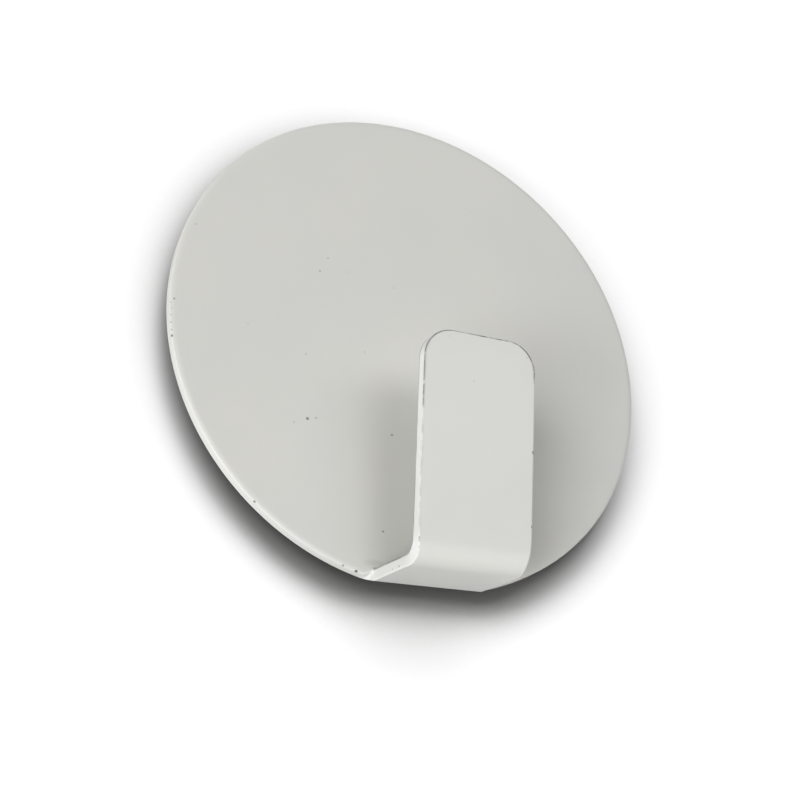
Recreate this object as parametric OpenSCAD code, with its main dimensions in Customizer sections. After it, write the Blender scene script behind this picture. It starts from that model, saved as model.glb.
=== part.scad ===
// Magnetic hook: a round sheet-steel plate whose hook tongue is folded out of the same sheet,
// with a flexible magnet disc bonded to its back.
// Millimetres, +Z up, the plate's front looks along -Y.
// The origin is the centre of the magnet's contact face.

/* [Plate] */
// Diameter of the round plate
plate_d = 60; // [45:0.5:80]
// Thickness of the coated sheet
sheet_t = 1.3; // [1:0.1:2]
// Rounding of the plate's front edge
rim_round = 0.3; // [0.2:0.05:0.7]
// Rounding of the plate's back edge
burr_round = 0.15; // [0.05:0.05:0.25]

/* [Hook] */
// Width of the folded tongue
tongue_w = 13.2; // [9:0.1:20]
// Length of the tongue from the ledge's outer corner to its top edge
tongue_len = 24.8; // [16:0.5:34]
// Reach from the plate's back to the ledge's outer corner
reach = 11.9; // [9:0.1:18]
// Turn of each of the two folds, in degrees
fold_turn = 85.5; // [78:0.5:90]
// Inside radius of the fold at the plate
root_bend_r = 0.4; // [0.2:0.1:1]
// Inside radius of the fold under the tongue
tip_bend_r = 1.3; // [0.5:0.1:2.5]
// Radius of the tongue's two top corners
tip_corner_r = 3.3; // [1.5:0.1:4]
// Height of the root fold's outer corner above the plate's lowest point
root_inset = 0.5; // [0:0.05:1.5]

/* [Magnet] */
// Margin from the plate's edge in to the magnet's edge
magnet_margin = 2; // [1:0.1:6]
// Thickness of the magnet disc
magnet_t = 2; // [1:0.1:3]
// Rounding of the magnet's cut edges
magnet_round = 0.25; // [0.1:0.05:0.4]
// Thickness of the adhesive film
bond_t = 0.15; // [0.1:0.05:0.5]
// Margin from the magnet's edge in to the film's edge
bond_margin = 0.5; // [0.3:0.1:2]

/* [Hidden] */
plate_r = plate_d / 2;
magnet_r = plate_r - magnet_margin;
bond_r = magnet_r - bond_margin;
stand_off = magnet_t + bond_t;

// Fold geometry: each fold's outer corner lies one setback away from both ends of its arc
root_out_r = root_bend_r + sheet_t;
tip_out_r = tip_bend_r + sheet_t;
root_setback = root_out_r * tan(fold_turn / 2);
tip_setback = tip_out_r * tan(fold_turn / 2);
root_z = root_setback + root_inset - plate_r;
ledge_len = reach / sin(fold_turn) - root_setback - tip_setback;
tongue_lean = 180 - 2 * fold_turn;

// Fold centres, reach first and height second
root_centre = [root_out_r, root_z];
ledge_dir = [sin(fold_turn), -cos(fold_turn)];
ledge_out = [-cos(fold_turn), -sin(fold_turn)];
tip_centre = root_centre + (root_bend_r - tip_bend_r) * ledge_out + ledge_len * ledge_dir;
tip_corner = [reach, root_inset - plate_r - reach / tan(fold_turn)];
tongue_dir = [sin(tongue_lean), cos(tongue_lean)];
tongue_out = [cos(tongue_lean), -sin(tongue_lean)];

// Flat steps along each fold, laps that join strip and plate, and clearance of the cutters
fold_steps = 24;
root_lap = 1;
seam_lap = 0.2;
cut_clear = 1;
trim_far = plate_d;

coat_color = [0.84, 0.84, 0.82];
magnet_color = [0.20, 0.18, 0.17];
bond_color = [0.88, 0.86, 0.78];

$fn = 96;

// Half section of the plate: radius across, thickness up from the back face
module rim_profile() {
    square([plate_r - rim_round, sheet_t]);
    square([plate_r - burr_round, sheet_t - rim_round]);
    translate([0, burr_round])
        square([plate_r, sheet_t - rim_round - burr_round]);
    translate([plate_r - rim_round, sheet_t - rim_round])
        circle(rim_round);
    translate([plate_r - burr_round, burr_round])
        circle(burr_round);
}

// A rectangle on the x axis with only the two corners at its far end rounded
module end_rect(size, r) {
    square([size.x - r, size.y]);
    translate([0, r])
        square([size.x, size.y - 2 * r]);
    for (y = [r, size.y - r])
        translate([size.x - r, y])
            circle(r);
}

// Points along an arc, from one angle to another
function arc(centre, r, from, to) = [
    for (i = [0:fold_steps])
        let (turn = from + (to - from) * i / fold_steps)
        centre + r * [cos(turn), sin(turn)]
];

// Side view of the strip, from the plate through the root fold, ledge and tip fold to the tongue
module strip_side() {
    at_plate = 180;
    at_ledge = at_plate + fold_turn;
    at_tongue = at_ledge + fold_turn;
    blade = (tongue_len - tip_setback + cut_clear) * tongue_dir;
    polygon(concat(
        [[0, root_z + 2 * root_lap]],
        arc(root_centre, root_out_r, at_plate, at_ledge),
        arc(tip_centre, tip_out_r, at_ledge, at_tongue),
        [tip_centre + tip_out_r * tongue_out + blade],
        [tip_centre + tip_bend_r * tongue_out + blade],
        arc(tip_centre, tip_bend_r, at_tongue, at_ledge),
        arc(root_centre, root_bend_r, at_ledge, at_plate),
        [[sheet_t, root_z + 2 * root_lap]]
    ));
}

// Front view of the strip, square to the tongue, with its height counted from the outer corner
module strip_front() {
    half_w = tongue_w / 2;
    inner_w = half_w - tip_corner_r;
    translate([-half_w, -trim_far])
        square([tongue_w, trim_far + tongue_len - tip_corner_r]);
    translate([-inner_w, -trim_far])
        square([2 * inner_w, trim_far + tongue_len]);
    for (x = [-inner_w, inner_w])
        translate([x, tongue_len - tip_corner_r])
            circle(tip_corner_r);
}

// The strip: its side view drawn out to the width that the front view then trims
module folded_strip() {
    intersection() {
        translate([0, 0, -tongue_w / 2 - cut_clear])
            linear_extrude(tongue_w + 2 * cut_clear)
                strip_side();
        translate([tip_corner.x, tip_corner.y, 0])
            rotate([0, 0, -tongue_lean])
                rotate([0, 90, 0])
                    translate([0, 0, -trim_far])
                        linear_extrude(2 * trim_far)
                            strip_front();
    }
}

// The place in the plate's edge that the strip is folded out of, with its two sides along radii
module root_cut() {
    slope = tan(asin((tongue_w / 2 - seam_lap) / plate_r));
    top = root_z + root_lap;
    low = -plate_r - cut_clear;
    translate([0, cut_clear, 0])
        rotate([90, 0, 0])
            linear_extrude(sheet_t + 2 * cut_clear)
                polygon([
                    [-top * slope, top],
                    [top * slope, top],
                    [low * slope, low],
                    [-low * slope, low]
                ]);
}

module hook_plate() {
    color(coat_color)
        translate([0, -stand_off, 0])
            union() {
                difference() {
                    rotate([90, 0, 0])
                        rotate_extrude()
                            rim_profile();
                    root_cut();
                }
                rotate([90, 0, -90])
                    folded_strip();
            }
}

module bond_film() {
    color(bond_color)
        translate([0, -magnet_t, 0])
            rotate([90, 0, 0])
                cylinder(h = bond_t, r = bond_r);
}

module magnet_disc() {
    color(magnet_color)
        rotate([90, 0, 0])
            rotate_extrude()
                end_rect([magnet_r, magnet_t], magnet_round);
}

hook_plate();
bond_film();
magnet_disc();
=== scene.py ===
import math

import bmesh
import bpy
import numpy as np
from mathutils import Matrix, Vector


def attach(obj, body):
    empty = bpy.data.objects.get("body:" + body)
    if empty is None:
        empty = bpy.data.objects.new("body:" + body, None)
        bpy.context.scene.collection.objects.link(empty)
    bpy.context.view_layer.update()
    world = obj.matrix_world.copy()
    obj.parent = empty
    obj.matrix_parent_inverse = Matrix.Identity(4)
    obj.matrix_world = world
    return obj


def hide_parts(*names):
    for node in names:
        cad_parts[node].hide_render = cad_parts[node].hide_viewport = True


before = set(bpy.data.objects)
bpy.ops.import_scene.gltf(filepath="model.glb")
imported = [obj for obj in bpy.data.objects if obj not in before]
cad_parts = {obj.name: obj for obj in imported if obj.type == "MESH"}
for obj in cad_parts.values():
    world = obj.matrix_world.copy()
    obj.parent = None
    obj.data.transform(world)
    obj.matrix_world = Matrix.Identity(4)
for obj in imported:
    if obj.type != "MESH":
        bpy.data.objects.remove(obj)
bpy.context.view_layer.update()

MM = 0.001

# Sizes of the coated sheet in millimetres, the same as in the part's source
PLATE_R = 30.0
SHEET_T = 1.3
STAND_OFF = 2.15
HALF_W = 6.6
TONGUE_LEN = 24.8
REACH = 11.9
TURN = math.radians(85.5)
ROOT_IN = 0.4
TIP_IN = 1.3
CORNER_R = 3.3
ROOT_INSET = 0.5

# Edges of the stamped blank: the punch rolls the front edge, wide and shallow, and the other side stays
# sharp. Each roll has its width and height, and fades from the root's to the full one over a length.
RIM_ROLL = (0.70, 0.14)
ROOT_ROLL = (0.18, 0.10)
FLANK_ROLL = (0.30, 0.12)
BURR_ROUND = 0.14
ROLL_FADE = 3.0

# Share of painted light, a paler coat where edges and faces catch more light: on the cut edges, on the sharp
# edge of ledge and tongue and on the tongue's face
LEDGE_PAINTED_LIGHT = 0.45
TONGUE_PAINTED_LIGHT = 1.0
RIM_PAINTED_LIGHT = 0.15
BURR_PAINTED_LIGHT = (0.7, 0.3)
FACE_PAINTED_LIGHT = 0.16

# Share of painted shade, a darker colour where shade falls: on the dragged corner at the root, on the sharp
# edge of the fold under the tongue and on the right inner edge, where the left one has all of it
FACET_SHADE = 0.30
FOLD_SHADE = 0.18
RIGHT_SHADE = 0.35

# Wear of the sharp edge: on the tongue's left and right top corners, and on its left side, with what is added
# there towards the top. The left edge is bare in a thinner line. Lengths over which the wear fades follow.
CORNER_WEAR = (0.75, 1.0)
LEFT_WEAR = (0.35, 0.45)
LEFT_LINE = 0.45
LEFT_WEAR_LOW = 11.5
LEFT_WEAR_FADE = 4.0
FOLD_WEAR_FADE = 1.5
RIGHT_WEAR_FADE = 1.0

# The blank's inner corner at the root, and how far along the rim the fold drags the sheet
NOTCH_R = 0.25
DRAG = 0.95

# The strip's edges at the fold under the tongue: drawn in outside the fold and swollen inside it, near the
# fold's middle and near the edge. The tongue's right edge also flares out a little towards its top.
DRAWN_IN = 0.25
SWOLLEN = 0.10
DRAWN_ALONG = 1.4
DRAWN_ACROSS = 1.2
FLARE = 0.20

# Fold geometry, reach first and height second
ROOT_OUT = ROOT_IN + SHEET_T
TIP_OUT = TIP_IN + SHEET_T
ROOT_MID = ROOT_IN + SHEET_T / 2
TIP_MID = TIP_IN + SHEET_T / 2
ROOT_BACK = ROOT_OUT * math.tan(TURN / 2)
TIP_BACK = TIP_OUT * math.tan(TURN / 2)
ROOT_Z = ROOT_BACK + ROOT_INSET - PLATE_R
LEDGE_LEN = REACH / math.sin(TURN) - ROOT_BACK - TIP_BACK
LEDGE_DIR = np.array([math.sin(TURN), -math.cos(TURN)])
LEDGE_OUT = np.array([-math.cos(TURN), -math.sin(TURN)])
TONGUE_DIR = np.array([math.sin(math.pi - 2 * TURN), math.cos(math.pi - 2 * TURN)])
ROOT_CENTRE = np.array([ROOT_OUT, ROOT_Z])
TIP_CENTRE = ROOT_CENTRE + (ROOT_IN - TIP_IN) * LEDGE_OUT + LEDGE_LEN * LEDGE_DIR

# Distances along the sheet's middle from the line where the root fold begins
ROOT_END = ROOT_MID * TURN
LEDGE_END = ROOT_END + LEDGE_LEN
TIP_END = LEDGE_END + TIP_MID * TURN
TAB_END = TIP_END + TONGUE_LEN - TIP_BACK


def ramp(value):
    """A smooth step from 0 at 0 to 1 at 1."""
    value = np.clip(value, 0.0, 1.0)
    return value * value * (3 - 2 * value)


def around(centre, radius, angle):
    """Points on a circle, with a radius and an angle for each."""
    return centre + radius[:, None] * np.stack([np.cos(angle), np.sin(angle)], -1)


def folded(depth, lift):
    """Reach and height of points a depth past the fold line and a lift above the outer face."""
    root = around(ROOT_CENTRE, ROOT_OUT - lift, math.pi + np.clip(depth, 0, ROOT_END) / ROOT_MID)
    tip_turn = TURN + np.clip(depth - LEDGE_END, 0, TIP_MID * TURN) / TIP_MID
    tip = around(TIP_CENTRE, TIP_OUT - lift, math.pi + tip_turn)
    flat = np.stack([lift, ROOT_Z - depth], -1)
    ledge = root + np.maximum(depth - ROOT_END, 0)[:, None] * LEDGE_DIR
    tongue = tip + np.maximum(depth - TIP_END, 0)[:, None] * TONGUE_DIR
    past = depth[:, None]
    return np.where(past <= 0, flat, np.where(past <= LEDGE_END, ledge, tongue))


def near_fold(depth):
    """1 in the middle of the fold under the tongue, and 0 away from it."""
    return np.exp(-((depth - (LEDGE_END + TIP_END) / 2) / DRAWN_ALONG) ** 2)


def in_frame(blank):
    """Points of the flat blank, as across, height and lift, at their place on the folded part."""
    across, height, lift = blank.T
    depth = ROOT_Z - height
    flat = np.stack([lift, height], -1)
    share = np.clip(1 - (np.abs(across) - HALF_W) / DRAG, 0.0, 1.0)
    side = flat + share[:, None] * (folded(depth, lift) - flat)
    near_edge = ramp((np.abs(across) - HALF_W + DRAWN_ACROSS) / DRAWN_ACROSS)
    inside = lift / SHEET_T
    drawn = near_fold(depth) * near_edge * (SWOLLEN * inside - DRAWN_IN * (1 - inside))
    up_tongue = np.clip((depth - TIP_END) / (TAB_END - TIP_END), 0, 1)
    flare = FLARE * up_tongue * (1 + across / HALF_W) / 2
    across = across + np.sign(across) * drawn + flare
    return np.stack([across, -STAND_OFF - side[:, 0], side[:, 1]], -1) * MM


def graded(total, count, first, gain):
    """Values from 0 to a total, with small steps at both ends."""
    index = np.arange(count)
    step = np.minimum(1.0, first + gain * np.minimum(index, count - 1 - index))
    return total * np.concatenate([[0.0], np.cumsum(step)]) / step.sum()


# Counts and spacing of the sheet's grid: the ring's columns halve four times on the way to the centre
NOTCH_STEPS = 5
CIRCLE_STEPS = 302
CIRCLE_FIRST = 0.12
CIRCLE_GAIN = 0.08
LEDGE_STEPS = 14
LEDGE_SPREAD = 1.2
FOLD_STEPS = 18
TONGUE_STEPS = 33
CORNER_STEPS = 14
RING_IN = 25.0
INNER_RINGS = ((22.0, 1), (18.5, 2), (14.0, 4), (9.0, 8), (4.5, 16))
TAB_COLUMNS = np.array([0.0, 0.1, 0.2, 0.3, 0.4, 0.5, 0.6, 0.7, 0.8, 0.88, 0.94, 0.975, 1.0])
TAB_U = np.concatenate([-TAB_COLUMNS[:0:-1], TAB_COLUMNS])
ROOT_ROWS = (5, 10)
ROUND_STEPS = 7
WALL_SHARES = (0.06, 0.15, 0.4, 0.7, 1.0)
BURR_STEPS = 6


def right_outline():
    """The blank's outline on the right, from the inner corner's middle: along the rim, and down the tab."""
    notch = np.array([HALF_W + NOTCH_R, -math.sqrt((PLATE_R + NOTCH_R) ** 2 - (HALF_W + NOTCH_R) ** 2)])
    rim_turn = math.atan2(notch[1], notch[0])

    def corner(first, last):
        turn = np.linspace(first, last, NOTCH_STEPS + 1)
        normal = np.stack([np.cos(turn), np.sin(turn)], -1)
        return notch - NOTCH_R * normal, normal

    to_rim = corner(rim_turn / 2, rim_turn)
    to_tab = corner(rim_turn / 2, 0.0)
    sweep = 2 * math.pi - 2 * (rim_turn + math.pi / 2)
    turn = rim_turn + graded(sweep, CIRCLE_STEPS, CIRCLE_FIRST, CIRCLE_GAIN)[1:-1]
    normal = np.stack([np.cos(turn), np.sin(turn)], -1)
    rim = (PLATE_R * normal, normal)
    start = ROOT_Z - notch[1]
    stations = np.concatenate([
        start + (LEDGE_END - start) * np.linspace(0, 1, LEDGE_STEPS + 1)[1:] ** LEDGE_SPREAD,
        np.linspace(LEDGE_END, TIP_END, FOLD_STEPS + 1)[1:],
        np.linspace(TIP_END, TAB_END - CORNER_R, TONGUE_STEPS + 1)[1:],
    ])
    flank = np.stack([np.full(len(stations), HALF_W), ROOT_Z - stations], -1)
    turn = -np.linspace(0, math.pi / 2, CORNER_STEPS + 1)[1:]
    normal = np.stack([np.cos(turn), np.sin(turn)], -1)
    centre = np.array([HALF_W - CORNER_R, ROOT_Z - TAB_END + CORNER_R])
    tab_points = np.concatenate([to_tab[0][1:], flank, centre + CORNER_R * normal])
    tab_normals = np.concatenate([to_tab[1][1:], np.tile([1.0, 0.0], (len(flank), 1)), normal])
    return to_rim, rim, (tab_points, tab_normals)


class Sheet:
    """Points of the flat blank, and the faces between them."""

    def __init__(self):
        self.points, self.faces, self.count = [], [], 0

    def add(self, across, height, lift):
        flat = np.stack(np.broadcast_arrays(across, height, lift), -1).reshape(-1, 3).astype(float)
        self.points.append(flat)
        first = self.count
        self.count += len(flat)
        return np.arange(first, self.count)

    def strip(self, one, two, closed=False):
        """Quads between two rows of the same length."""
        ends = range(len(one)) if closed else range(len(one) - 1)
        for i in ends:
            k = (i + 1) % len(one)
            self.faces.append((one[i], one[k], two[k], two[i]))


def face_grid(sheet, lift, edge_points, counts):
    """One face of the sheet, as a grid with its border on the given points. Returns the border's vertices."""
    n_out, n_tab = counts
    out = edge_points[:n_out]
    tab_left = edge_points[n_out:n_out + n_tab]
    corner = out[0]
    turn = np.arctan2(out[:, 0], -out[:, 1]) % (2 * math.pi)
    half = turn[0]
    around_tab = TAB_U[1:-1] * half
    ring_turn = np.concatenate([turn, around_tab])
    ring_dir = np.stack([np.sin(ring_turn), -np.cos(ring_turn)], -1)
    first = RING_IN * ring_dir

    # Rows from the inner ring to the border: on the tab's columns they turn from arcs to straight lines
    bend_at = (ROOT_Z - first[0, 1]) / (corner[1] - first[0, 1])
    shares = np.concatenate([
        np.linspace(0, bend_at, ROOT_ROWS[0] + 1)[:-1],
        np.linspace(bend_at, 1, ROOT_ROWS[1] + 1),
    ])
    rows = []
    for share in shares:
        outer = first[:n_out] + share * (out - first[:n_out])
        arc = max(0.0, 1 - share / bend_at)
        across = outer[0, 0] * first[n_out:, 0] / first[0, 0]
        height = outer[0, 1] + arc * (first[n_out:, 1] - first[0, 1])
        row = np.concatenate([outer, np.stack([across, height], -1)])
        rows.append(sheet.add(row[:, 0], row[:, 1], lift))
    for one, two in zip(rows, rows[1:]):
        sheet.strip(one, two, closed=True)

    # Rings to the centre, each with half the columns of the one before
    last, step = rows[0], 1
    for radius, skip in INNER_RINGS:
        ring = radius * ring_dir[::skip]
        now = sheet.add(ring[:, 0], ring[:, 1], lift)
        if skip == step:
            sheet.strip(now, last, closed=True)
        else:
            for i in range(len(now)):
                a, b, c = last[2 * i], last[2 * i + 1], last[(2 * i + 2) % len(last)]
                d, e = now[i], now[(i + 1) % len(now)]
                sheet.faces.extend([(d, a, b), (d, b, e), (e, b, c)])
        last, step = now, skip
    middle = sheet.add(0.0, 0.0, lift)[0]
    for i in range(len(last)):
        sheet.faces.append((middle, last[i], last[(i + 1) % len(last)]))

    # Rows down the tab
    row = np.concatenate([rows[-1][n_out - 1:], rows[-1][:1]])
    left, right = [], []
    for point in tab_left:
        now = sheet.add(-point[0] * TAB_U, point[1], lift)
        sheet.strip(row, now)
        left.append(now[0])
        right.append(now[-1])
        row = now
    return np.concatenate([rows[-1][:n_out], left, row[1:-1], right[::-1]])


def sheet_mesh():
    """The folded sheet as one closed mesh, with values for wear, for painted shade and for painted light as a
    paler coat.
    """
    to_rim, rim, tab = right_outline()

    def mirrored(points):
        return points[::-1] * np.array([-1.0, 1.0])

    def left_of(points):
        return points * np.array([-1.0, 1.0])

    tip_u = TAB_U[1:-1] * tab[0][-1, 0]
    tip = np.stack([tip_u, np.full(len(tip_u), tab[0][-1, 1])], -1)
    tip_normal = np.tile([0.0, -1.0], (len(tip_u), 1))
    points = np.concatenate([
        to_rim[0], rim[0], mirrored(to_rim[0]), left_of(tab[0]), tip, tab[0][::-1],
    ])
    normals = np.concatenate([
        to_rim[1], rim[1], mirrored(to_rim[1]), left_of(tab[1]), tip_normal, tab[1][::-1],
    ])
    n_out = 2 * len(to_rim[0]) + len(rim[0])
    n_tab = len(tab[0])
    depth = ROOT_Z - points[:, 1]
    on_tab = np.zeros(len(points), bool)
    on_tab[n_out:] = True

    # The roll's width and height: full on the rim, small at the root
    from_root = np.where(points[:, 1] < 0, np.abs(points[:, 0]) - HALF_W, PLATE_R)
    from_root = np.where(on_tab, depth - LEDGE_END / 2, from_root)
    share = ramp(from_root / ROLL_FADE)
    roll_in, roll_down = (
        near + share * (np.where(on_tab, flank, full) - near)
        for near, full, flank in zip(ROOT_ROLL, RIM_ROLL, FLANK_ROLL)
    )

    sheet = Sheet()
    front = face_grid(sheet, SHEET_T, points - roll_in[:, None] * normals, (n_out, n_tab))
    back = face_grid(sheet, 0.0, points - BURR_ROUND * normals, (n_out, n_tab))

    def loop(inset, lift):
        place = points - np.broadcast_to(inset, len(points))[:, None] * normals
        return sheet.add(place[:, 0], place[:, 1], lift)

    roll = []
    for turn in np.linspace(0, math.pi / 2, ROUND_STEPS + 1)[1:]:
        roll.append(loop(roll_in * (1 - math.sin(turn)), SHEET_T - roll_down * (1 - math.cos(turn))))
    wall = []
    top = SHEET_T - roll_down
    for part in WALL_SHARES:
        wall.append(loop(0.0, top + part * (BURR_ROUND - top)))
    burr = []
    for turn in np.linspace(0, math.pi / 2, BURR_STEPS + 1)[1:-1]:
        burr.append(loop(BURR_ROUND * (1 - math.cos(turn)), BURR_ROUND * (1 - math.sin(turn))))
    loops = [front] + roll + wall + burr + [back]
    for one, two in zip(loops, loops[1:]):
        sheet.strip(one, two, closed=True)

    # Wear on the sharp edge, painted light as a paler coat on cut edges and tongue, and painted shade at
    # root, fold and inner edge
    wear, painted_shade, cut = (np.zeros(sheet.count) for _ in range(3))
    worn = edge_wear(points, on_tab, depth)
    for row in burr[1:]:
        wear[row] = worn
    wear[back] = worn * np.where(points[:, 0] < 0, LEFT_LINE, 1.0)
    past_root = ramp(depth / ROOT_END)
    past_fold = ramp((depth - LEDGE_END) / (TIP_END - LEDGE_END))
    on_strip = past_root * LEDGE_PAINTED_LIGHT + past_fold * (TONGUE_PAINTED_LIGHT - LEDGE_PAINTED_LIGHT)
    # Painted light: the roll's last row and the wall rows get a paler coat, most on the tab
    for row in roll[-1:] + wall:
        cut[row] = np.where(on_tab, on_strip, RIM_PAINTED_LIGHT)
    # Painted light on the sharp edge of ledge and tongue, and painted shade on the fold's sharp edge
    for row in burr:
        cut[row] = on_tab * (past_root * BURR_PAINTED_LIGHT[0] + past_fold * (BURR_PAINTED_LIGHT[1] - BURR_PAINTED_LIGHT[0]))
        painted_shade[row] = on_tab * FOLD_SHADE * near_fold(depth)
    blank = np.concatenate(sheet.points)
    outer_face = blank[:, 2] == 0
    tongue_face = ramp((ROOT_Z - blank[:, 1] - LEDGE_END) / (TIP_END - LEDGE_END)) * outer_face
    # Painted light: the tongue's face gets a little of the paler coat
    cut = np.maximum(cut, FACE_PAINTED_LIGHT * tongue_face)
    # Painted shade on the dragged corner at the root
    dragged = np.where(on_tab, 1 - past_root, np.clip(1 - from_root / DRAG, 0.0, 1.0))
    for row in roll[-1:] + wall + burr:
        painted_shade[row] = np.maximum(painted_shade[row], FACET_SHADE * dragged)
    # Painted shade along the strip's inner edges, in full on the left and in part on the right
    leftness = ramp(0.5 - points[:, 0] / (2 * HALF_W))
    inner_edge = on_tab * past_root * (RIGHT_SHADE + (1 - RIGHT_SHADE) * leftness)
    for row in roll[1:] + wall[:1]:
        painted_shade[row] = np.maximum(painted_shade[row], inner_edge)

    mesh = bpy.data.meshes.new("coated_plate")
    mesh.from_pydata(in_frame(blank).tolist(), [], [tuple(map(int, f)) for f in sheet.faces])
    # Attributes for wear, painted shade and painted light
    for name, values in (("wear", wear), ("painted_shade", painted_shade), ("cut", cut)):
        mesh.attributes.new(name, "FLOAT", "POINT").data.foreach_set("value", values.astype(np.float32))
    work = bmesh.new()
    work.from_mesh(mesh)
    bmesh.ops.recalc_face_normals(work, faces=work.faces)
    work.to_mesh(mesh)
    work.free()
    mesh.polygons.foreach_set("use_smooth", [True] * len(mesh.polygons))
    return mesh


def edge_wear(points, on_tab, depth):
    """How bare the sharp edge is along the outline: most at the tongue's two top corners."""
    from_top = TAB_END - depth
    left = points[:, 0] < 0
    top = np.where(from_top < CORNER_R, np.where(left, *CORNER_WEAR), 0.0)
    left_side = LEFT_WEAR[0] + LEFT_WEAR[1] * ramp((LEFT_WEAR_LOW - from_top) / LEFT_WEAR_FADE)
    left_side = left_side * ramp((depth - TIP_END) / FOLD_WEAR_FADE)
    right_side = ramp((CORNER_R + RIGHT_WEAR_FADE - from_top) / RIGHT_WEAR_FADE)
    side = np.where(left, left_side, right_side)
    return np.where(on_tab, np.maximum(top, side), 0.0)


class Tree:
    """Short calls for building a node tree."""

    def __init__(self, tree):
        self.tree = tree
        tree.nodes.clear()

    def add(self, kind, inputs=(), **settings):
        node = self.tree.nodes.new(kind)
        for name, value in settings.items():
            setattr(node, name, value)
        for key, value in dict(inputs).items():
            if isinstance(value, bpy.types.NodeSocket):
                self.tree.links.new(value, node.inputs[key])
            else:
                node.inputs[key].default_value = value
        return node

    def math(self, operation, one, two=0.0):
        return self.add("ShaderNodeMath", {0: one, 1: two}, operation=operation).outputs[0]

    def span(self, value, low, high, to_low=0.0, to_high=1.0):
        """A value mapped from one span to another, smoothly and without leaving it."""
        inputs = {0: value, 1: low, 2: high, 3: to_low, 4: to_high}
        return self.add("ShaderNodeMapRange", inputs, interpolation_type="SMOOTHSTEP").outputs[0]

    def noise(self, place, scale, detail=2.0, rough=0.5):
        inputs = {"Vector": place, "Scale": scale, "Detail": detail, "Roughness": rough}
        return self.add("ShaderNodeTexNoise", inputs).outputs[0]

    def mix(self, share, one, two):
        inputs = {0: share, 6: one, 7: two}
        return self.add("ShaderNodeMix", inputs, data_type="RGBA").outputs[2]

    def object_place(self):
        return self.add("ShaderNodeTexCoord").outputs["Object"]


def new_material(name):
    material = bpy.data.materials.new(name)
    material.use_nodes = True
    return material, Tree(material.node_tree)


# Colours, and how many spots a metre each noise has
COAT = (0.665, 0.667, 0.637, 1.0)
COAT_WARM = (0.690, 0.685, 0.650, 1.0)
# The next colour is painted light: a paler coat on edges and the tongue, where they catch more light
COAT_PAINTED_LIGHT = (0.780, 0.780, 0.762, 1.0)
# The next colour is painted shade: a dark colour for shade beside the root, in creases and on folds
PAINTED_SHADE = (0.16, 0.16, 0.15, 1.0)
BARE_EDGE = (0.075, 0.075, 0.070, 1.0)
SPECK = (0.055, 0.052, 0.048, 1.0)
MAGNET_DARK = (0.022, 0.020, 0.019, 1.0)
MAGNET_PALE = (0.045, 0.041, 0.038, 1.0)
MAGNET_SCUFF = (0.075, 0.069, 0.064, 1.0)
FILM_DARK = (0.62, 0.58, 0.47, 1.0)
FILM_PALE = (0.74, 0.70, 0.58, 1.0)
CLOUD_SCALE = 90.0
# The next scale is that of the noise that breaks up the painted shade
PAINTED_SHADE_SCALE = 420.0
WEAR_SCALE = 750.0
GLOSS_SCALE = 300.0
PEEL_SCALE = 1500.0
GRAIN_SCALE = 2600.0
LINE_SCALE = 900.0
LINE_STRETCH = (1.0, 1.0, 0.03)
FILM_SCALE = 250.0
BUBBLE_SCALE = 1200.0

# Heights of the relief of coat, magnet and film in metres, and the middle span of a noise
PEEL_HEIGHT = 0.00002
GRAIN_HEIGHT = 0.00006
BUBBLE_HEIGHT = 0.00003
MIDDLE = (0.3, 0.7)

# Small marks in the coat, each with its radius and strength: on the plate by across and height,
# on the rim by the angle from the plate's right and the inset, on the strip by across, distance from the
# tongue's top and lift above the outer face
PLATE_MARKS = (
    (-14.02, -12.03, 0.25, 0.75), (-13.02, -11.81, 0.15, 0.5), (-15.60, -12.69, 0.14, 0.35),
    (-3.83, -12.44, 0.20, 0.6), (-5.25, -23.95, 0.19, 0.55), (-21.06, -1.68, 0.14, 0.2),
    (-27.40, 9.51, 0.16, 0.3), (-11.44, 8.71, 0.18, 0.25), (-12.45, 6.76, 0.2, 0.35),
    (-8.79, 7.42, 0.15, 0.18), (-2.99, 6.52, 0.16, 0.2), (-14.20, -4.23, 0.16, 0.3),
    (-6.95, -2.65, 0.15, 0.25),
)
RIM_MARKS = (
    (180.69, 0.52, 0.17, 0.65), (181.60, 0.10, 0.12, 0.30), (182.88, 0.27, 0.12, 0.25),
    (184.50, 0.13, 0.13, 0.35), (186.21, 0.11, 0.14, 0.40), (187.90, 0.10, 0.14, 0.40),
    (189.25, 0.05, 0.22, 0.80), (228.24, 0.02, 0.22, 0.75), (250.53, 0.05, 0.20, 0.60),
    (253.53, 0.04, 0.25, 0.95),
)
TONGUE_MARKS = (
    (6.7, 11.94, 0.0, 0.30, 0.95), (6.64, 19.9, 0.0, 0.26, 0.85), (6.62, 22.84, 0.0, 0.24, 0.85),
    (-0.7, 5.2, 0.0, 0.16, 0.18), (5.7, 1.55, 0.0, 0.15, 0.2), (-3.7, 0.75, 0.0, 0.14, 0.2),
    (-6.47, 22.35, 0.0, 0.15, 0.5), (-6.47, 22.5, 0.0, 0.15, 0.55), (-6.47, 22.65, 0.0, 0.15, 0.5),
    (-6.40, 23.1, 0.0, 0.15, 0.3), (-6.6, 27.1, 0.31, 0.18, 0.55), (-6.6, 28.65, 0.32, 0.14, 0.4),
)

# Depth of the rim's marks, and the share of its radius over which a mark has its full strength
RIM_MARK_Y = -(STAND_OFF + SHEET_T) + 0.05
MARK_CORE = 0.35

# A soft patch of painted shade on the plate beside the root: middle, half its width and height, and strength
ROOT_SHADE = (-6.2, -27.6)
ROOT_SHADE_HALF = (1.9, 0.55)
ROOT_SHADE_STRENGTH = 0.16


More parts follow.
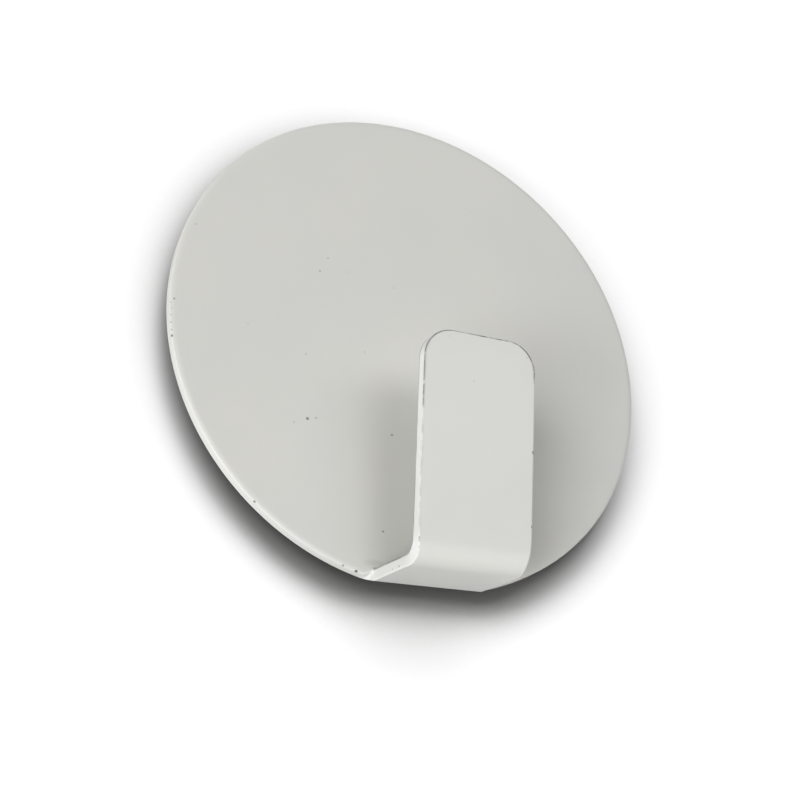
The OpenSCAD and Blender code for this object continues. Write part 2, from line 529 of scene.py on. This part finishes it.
def mark_places():
    """Middle, radius and strength of every mark in the coat, in metres."""
    front = STAND_OFF + SHEET_T
    places = []
    for across, height, radius, strength in PLATE_MARKS:
        places.append(((across, -front, height), radius, strength))
    for angle, inset, radius, strength in RIM_MARKS:
        turn, rim_r = math.radians(angle), PLATE_R - inset
        places.append(((rim_r * math.cos(turn), RIM_MARK_Y, rim_r * math.sin(turn)), radius, strength))
    for across, from_top, lift, radius, strength in TONGUE_MARKS:
        reach, height = folded(np.array([TAB_END - from_top]), np.array([lift]))[0]
        places.append(((across, -STAND_OFF - reach, height), radius, strength))
    return [
        (tuple(MM * value for value in middle), MM * radius, strength)
        for middle, radius, strength in places
    ]


def coat_material():
    """Satin powder coat: faint clouding, orange peel, small marks and bare lines on the sharp edge, with
    painted light as a paler coat and painted shade as a darker colour.
    """
    material, tree = new_material("powder_coat")
    place = tree.object_place()
    cloud = tree.span(tree.noise(place, CLOUD_SCALE, 3.0), *MIDDLE)
    colour = tree.mix(cloud, COAT, COAT_WARM)
    # Painted light: a paler coat on cut edges and on the tongue's face
    cut = tree.add("ShaderNodeAttribute", attribute_name="cut").outputs["Fac"]
    colour = tree.mix(cut, colour, COAT_PAINTED_LIGHT)

    # The patch of painted shade beside the root, and the uneven painted shade along the strip's inner edges,
    # on the fold's sharp edge and at the root's corner
    middle = (ROOT_SHADE[0] * MM, -(STAND_OFF + SHEET_T) * MM, ROOT_SHADE[1] * MM)
    offset = tree.add("ShaderNodeVectorMath", {0: place, 1: middle}, operation="SUBTRACT").outputs[0]
    shrink = (1 / (ROOT_SHADE_HALF[0] * MM), 1 / (ROOT_SHADE_HALF[1] * MM), 1 / (ROOT_SHADE_HALF[1] * MM))
    offset = tree.add("ShaderNodeVectorMath", {0: offset, 1: shrink}, operation="MULTIPLY").outputs[0]
    far = tree.add("ShaderNodeVectorMath", {0: offset}, operation="LENGTH").outputs["Value"]
    shade_patch = tree.span(far, 0.1, 1.0, ROOT_SHADE_STRENGTH, 0.0)
    painted_shade = tree.add("ShaderNodeAttribute", attribute_name="painted_shade").outputs["Fac"]
    uneven = tree.span(tree.noise(place, PAINTED_SHADE_SCALE, 3.0, 0.6), 0.35, 0.62, 0.5, 0.85)
    shade_patch = tree.math("MAXIMUM", shade_patch, tree.math("MULTIPLY", painted_shade, uneven))
    colour = tree.mix(shade_patch, colour, PAINTED_SHADE)

    marks = None
    for middle, radius, strength in mark_places():
        far = tree.add("ShaderNodeVectorMath", {0: place, 1: middle}, operation="DISTANCE").outputs["Value"]
        mark = tree.span(far, MARK_CORE * radius, radius, strength, 0.0)
        marks = mark if marks is None else tree.math("MAXIMUM", marks, mark)
    colour = tree.mix(marks, colour, SPECK)
    wear = tree.add("ShaderNodeAttribute", attribute_name="wear").outputs["Fac"]
    broken = tree.span(tree.noise(place, WEAR_SCALE, 3.0, 0.6), 0.34, 0.60, 0.25, 1.0)
    bare = tree.math("MULTIPLY", wear, broken)
    colour = tree.mix(bare, colour, BARE_EDGE)
    gloss = tree.span(tree.noise(place, GLOSS_SCALE, 2.0), *MIDDLE, 0.40, 0.48)
    peel = tree.noise(place, PEEL_SCALE, 2.0, 0.45)
    bump = tree.add("ShaderNodeBump", {"Strength": 0.25, "Distance": PEEL_HEIGHT, "Height": peel})
    shader = tree.add("ShaderNodeBsdfPrincipled", {
        "Base Color": colour, "Roughness": gloss, "Normal": bump.outputs[0], "Specular IOR Level": 0.4,
    })
    tree.add("ShaderNodeOutputMaterial", {0: shader.outputs[0]})
    return material


def magnet_material():
    """Flexible magnet: dark rubber full of ferrite grain, with faint rolling lines and pale scuffs."""
    material, tree = new_material("ferrite_rubber")
    place = tree.object_place()
    grain = tree.noise(place, GRAIN_SCALE, 3.0, 0.6)
    colour = tree.mix(tree.span(grain, *MIDDLE), MAGNET_DARK, MAGNET_PALE)
    stretched = tree.add("ShaderNodeMapping", {0: place, 3: LINE_STRETCH}).outputs[0]
    lines = tree.noise(stretched, LINE_SCALE, 4.0, 0.65)
    colour = tree.mix(tree.span(lines, 0.55, 0.8, 0.0, 0.5), colour, MAGNET_SCUFF)
    height = tree.math("ADD", tree.math("MULTIPLY", lines, 0.7), tree.math("MULTIPLY", grain, 0.3))
    bump = tree.add("ShaderNodeBump", {"Strength": 0.5, "Distance": GRAIN_HEIGHT, "Height": height})
    gloss = tree.span(lines, *MIDDLE, 0.50, 0.68)
    shader = tree.add("ShaderNodeBsdfPrincipled", {
        "Base Color": colour, "Roughness": gloss, "Normal": bump.outputs[0], "Specular IOR Level": 0.3,
    })
    tree.add("ShaderNodeOutputMaterial", {0: shader.outputs[0]})
    return material


def film_material():
    """Adhesive film: milky, slightly yellow, with small bubbles."""
    material, tree = new_material("adhesive_film")
    place = tree.object_place()
    cloud = tree.span(tree.noise(place, FILM_SCALE, 3.0), *MIDDLE)
    colour = tree.mix(cloud, FILM_DARK, FILM_PALE)
    bubbles = tree.noise(place, BUBBLE_SCALE, 2.0)
    bump = tree.add("ShaderNodeBump", {"Strength": 0.4, "Distance": BUBBLE_HEIGHT, "Height": bubbles})
    gloss = tree.span(cloud, 0.0, 1.0, 0.45, 0.6)
    shader = tree.add("ShaderNodeBsdfPrincipled", {
        "Base Color": colour, "Roughness": gloss, "Normal": bump.outputs[0],
    })
    tree.add("ShaderNodeOutputMaterial", {0: shader.outputs[0]})
    return material


def add_object(name, mesh, material):
    thing = bpy.data.objects.new(name, mesh)
    bpy.context.scene.collection.objects.link(thing)
    mesh.materials.append(material)
    return thing


plate = add_object("coated_plate", sheet_mesh(), coat_material())
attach(plate, "root")
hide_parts("hook_plate")
for node_name, material in (("magnet_disc", magnet_material()), ("bond_film", film_material())):
    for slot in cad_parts[node_name].material_slots:
        slot.material = material

# Studio: a pale wall that the magnet holds to, open behind the magnet, and a pale floor far below, in metres
STAGE_REACH = 1.5
WALL_Y = 0.00001
WALL_HOLE = 0.0276
FLOOR_Z = -1.3
CIRCLE_SIDES = 96

# Reach and power of the wall's painted shadow, which darkens its colour where the part is close
CLOSE = 0.014
CLOSE_POWER = 1.15
CLOSE_SAMPLES = 16

# Colours of wall, floor and sky: for the light that goes on into the scene, and where they are looked at
WALL_BOUNCE = (0.14, 0.14, 0.14, 1.0)
WALL_SEEN = (1.0, 1.0, 1.0, 1.0)
FLOOR_BOUNCE = (0.05, 0.05, 0.05, 1.0)
FLOOR_SEEN = (1.0, 1.0, 1.0, 1.0)
AMBIENT = (0.02, 0.02, 0.02, 1.0)
WHITE = (1.0, 1.0, 1.0, 1.0)
BLACK = (0.0, 0.0, 0.0, 1.0)


def seen_colour(tree, bounce, seen):
    """One colour for light that goes on into the scene, and another where the surface is looked at."""
    path = tree.add("ShaderNodeLightPath").outputs
    looked_at = tree.math("MAXIMUM", path["Is Camera Ray"], path["Is Glossy Ray"])
    looked_at = tree.math("MAXIMUM", looked_at, path["Is Transmission Ray"])
    return tree.mix(looked_at, bounce, seen)


def wall_material():
    """A pale surface on the room's side with a painted shadow, darker where the part is close, and nothing at
    all from behind.
    """
    material, tree = new_material("pale_wall")
    # Painted shadow: ambient occlusion near the part darkens the wall's colour
    nearby = tree.add("ShaderNodeAmbientOcclusion", {"Distance": CLOSE}, samples=CLOSE_SAMPLES)
    open_share = tree.math("POWER", nearby.outputs["AO"], CLOSE_POWER)
    colour = tree.mix(open_share, BLACK, seen_colour(tree, WALL_BOUNCE, WALL_SEEN))
    front = tree.add("ShaderNodeBsdfDiffuse", {0: colour}).outputs[0]
    behind = tree.add("ShaderNodeNewGeometry").outputs["Backfacing"]
    clear = tree.add("ShaderNodeBsdfTransparent").outputs[0]
    surface = tree.add("ShaderNodeMixShader", {0: behind, 1: front, 2: clear}).outputs[0]
    tree.add("ShaderNodeOutputMaterial", {0: surface})
    return material


def floor_material():
    material, tree = new_material("pale_floor")
    colour = seen_colour(tree, FLOOR_BOUNCE, FLOOR_SEEN)
    surface = tree.add("ShaderNodeBsdfDiffuse", {0: colour}).outputs[0]
    tree.add("ShaderNodeOutputMaterial", {0: surface})
    return material


def upright_circle(radius, y):
    turn = np.linspace(0, 2 * math.pi, CIRCLE_SIDES, endpoint=False)
    return np.stack([radius * np.cos(turn), np.full(CIRCLE_SIDES, y), radius * np.sin(turn)], -1)


def wall_mesh():
    """A wall that faces the room, open behind the magnet so that the magnet's own face is lit."""
    mesh = bpy.data.meshes.new("wall")
    points = np.concatenate([upright_circle(WALL_HOLE, WALL_Y), upright_circle(STAGE_REACH, WALL_Y)])
    faces = []
    for i in range(CIRCLE_SIDES):
        k = (i + 1) % CIRCLE_SIDES
        faces.append((i, CIRCLE_SIDES + i, CIRCLE_SIDES + k, k))
    mesh.from_pydata(points.tolist(), [], faces)
    return mesh


def floor_mesh():
    mesh = bpy.data.meshes.new("floor")
    r = STAGE_REACH
    corners = [(-r, -r, FLOOR_Z), (r, -r, FLOOR_Z), (r, r, FLOOR_Z), (-r, r, FLOOR_Z)]
    mesh.from_pydata(corners, [], [(0, 1, 2, 3)])
    return mesh


# A disc inside the plate that alone shades the wall, so that the shadow is the plate's and not the tongue's
SHADE_R = 29.85 * MM
SHADE_Y = -(STAND_OFF + SHEET_T / 2) * MM
SHADE_LOW = -28.5 * MM


def shade_mesh():
    mesh = bpy.data.meshes.new("shade")
    points = upright_circle(SHADE_R, SHADE_Y)
    points[:, 2] = np.maximum(points[:, 2], SHADE_LOW)
    mesh.from_pydata(points.tolist(), [], [tuple(range(CIRCLE_SIDES))])
    return mesh


def group(name, *members):
    made = bpy.data.collections.new(name)
    for member in members:
        made.objects.link(member)
    return made


wall = add_object("wall", wall_mesh(), wall_material())
wall.visible_shadow = False
floor = add_object("floor", floor_mesh(), floor_material())
floor.visible_shadow = False
shade = add_object("shade", shade_mesh(), floor.data.materials[0])
shade.visible_camera = False
magnet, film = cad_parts["magnet_disc"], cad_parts["bond_film"]
lit_part = group("lit_part", plate, magnet, film)
lit_plate = group("lit_plate", plate)
lit_back = group("lit_back", magnet, film)
lit_wall = group("lit_wall", wall)
lit_floor = group("lit_floor", floor)
wall_shaders = group("wall_shaders", shade, magnet, film)

LAMP_AIM = Vector((0.0, -0.005, -0.01))
LAMP_FAR = 2.4
FAR_LAMP_ANGLE = math.radians(28.0)


def lamp(kind, azimuth, elevation, strength, lit, shaders=None):
    """A lamp that lights a group, by its direction from the object: azimuth to the right and elevation up."""
    turn, rise = math.radians(azimuth), math.radians(elevation)
    toward = Vector((math.sin(turn) * math.cos(rise), -math.cos(turn) * math.cos(rise), math.sin(rise)))
    data = bpy.data.lights.new(f"lamp_{azimuth}_{elevation}", kind)
    data.energy = strength
    thing = bpy.data.objects.new(data.name, data)
    thing.location = LAMP_AIM + LAMP_FAR * toward
    thing.rotation_euler = toward.to_track_quat("Z", "Y").to_euler()
    thing.visible_camera = False
    thing.light_linking.receiver_collection = lit
    thing.light_linking.blocker_collection = shaders
    bpy.context.scene.collection.objects.link(thing)
    return data


def round_lamp(azimuth, elevation, power, size, lit):
    data = lamp("AREA", azimuth, elevation, power, lit)
    data.shape = "DISK"
    data.size = size


def far_lamp(azimuth, elevation, strength, lit, shaders=None):
    lamp("SUN", azimuth, elevation, strength, lit, shaders).angle = FAR_LAMP_ANGLE


# Azimuth, elevation and power of the lamps on the part, and of the fill on the sides that the photograph
# hides, with the lamps' sizes
PART_LAMP = 1.04
PART_LAMPS = (
    (0, 25, 3.6), (0, 0, 12.0), (22, 0, 4.6), (-44, 0, 18.0), (-44, -25, 12.8), (-66, -25, 18.0),
    (-88, -60, 29.2),
)
FILL_LAMP = 2.0
PLATE_FILL = ((180, 10, 16.0), (110, 5, 16.0), (0, 88, 6.4))
BACK_FILL = ((180, 10, 32.0), (225, 20, 32.0), (135, 20, 16.0))

# Azimuth, elevation and strength of the far lamps on wall and floor alone
WALL_LAMPS = (
    (-80, -20, 1.38), (-60, 24, 1.01), (0, 36, 0.51), (20, 36, 0.47), (-40, 48, 1.67), (0, 56, 1.86),
)
FLOOR_LAMP = (0, 90, 3.1)
for azimuth, elevation, power in PART_LAMPS:
    round_lamp(azimuth, elevation, power, PART_LAMP, lit_part)
for azimuth, elevation, power in PLATE_FILL:
    round_lamp(azimuth, elevation, power, FILL_LAMP, lit_plate)
for azimuth, elevation, power in BACK_FILL:
    round_lamp(azimuth, elevation, power, FILL_LAMP, lit_back)
for azimuth, elevation, strength in WALL_LAMPS:
    far_lamp(azimuth, elevation, strength, lit_wall, wall_shaders)
far_lamp(*FLOOR_LAMP, lit_floor)

world = bpy.data.worlds.new("studio")
world.use_nodes = True
bpy.context.scene.world = world
sky = Tree(world.node_tree)
background = sky.add("ShaderNodeBackground", {0: seen_colour(sky, AMBIENT, WHITE), 1: 1.0})
sky.add("ShaderNodeOutputWorld", {0: background.outputs[0]})

# Camera at the photograph's viewpoint, found from the outlines of plate and tongue: place in millimetres
CAMERA_PLACE = (-62.481, -124.201, -67.577)
CAMERA_RIGHT = (0.90153, -0.43168, -0.02995)
CAMERA_UP = (-0.15013, -0.37695, 0.91399)
CAMERA_BACK = (-0.40584, -0.81949, -0.40464)
CAMERA_LENS = 58.126
CAMERA_SENSOR = 36.0
CAMERA_NEAR = 0.005

view = bpy.data.cameras.new("camera")
view.sensor_fit = "HORIZONTAL"
view.sensor_width = CAMERA_SENSOR
view.lens = CAMERA_LENS
view.clip_start = CAMERA_NEAR
camera = bpy.data.objects.new("camera", view)
turned = Matrix((CAMERA_RIGHT, CAMERA_UP, CAMERA_BACK)).transposed()
camera.matrix_world = Matrix.Translation(Vector(CAMERA_PLACE) * MM) @ turned.to_4x4()
bpy.context.scene.collection.objects.link(camera)
bpy.context.scene.camera = camera
bpy.context.scene.view_settings.view_transform = "Standard"

bpy.context.view_layer.update()
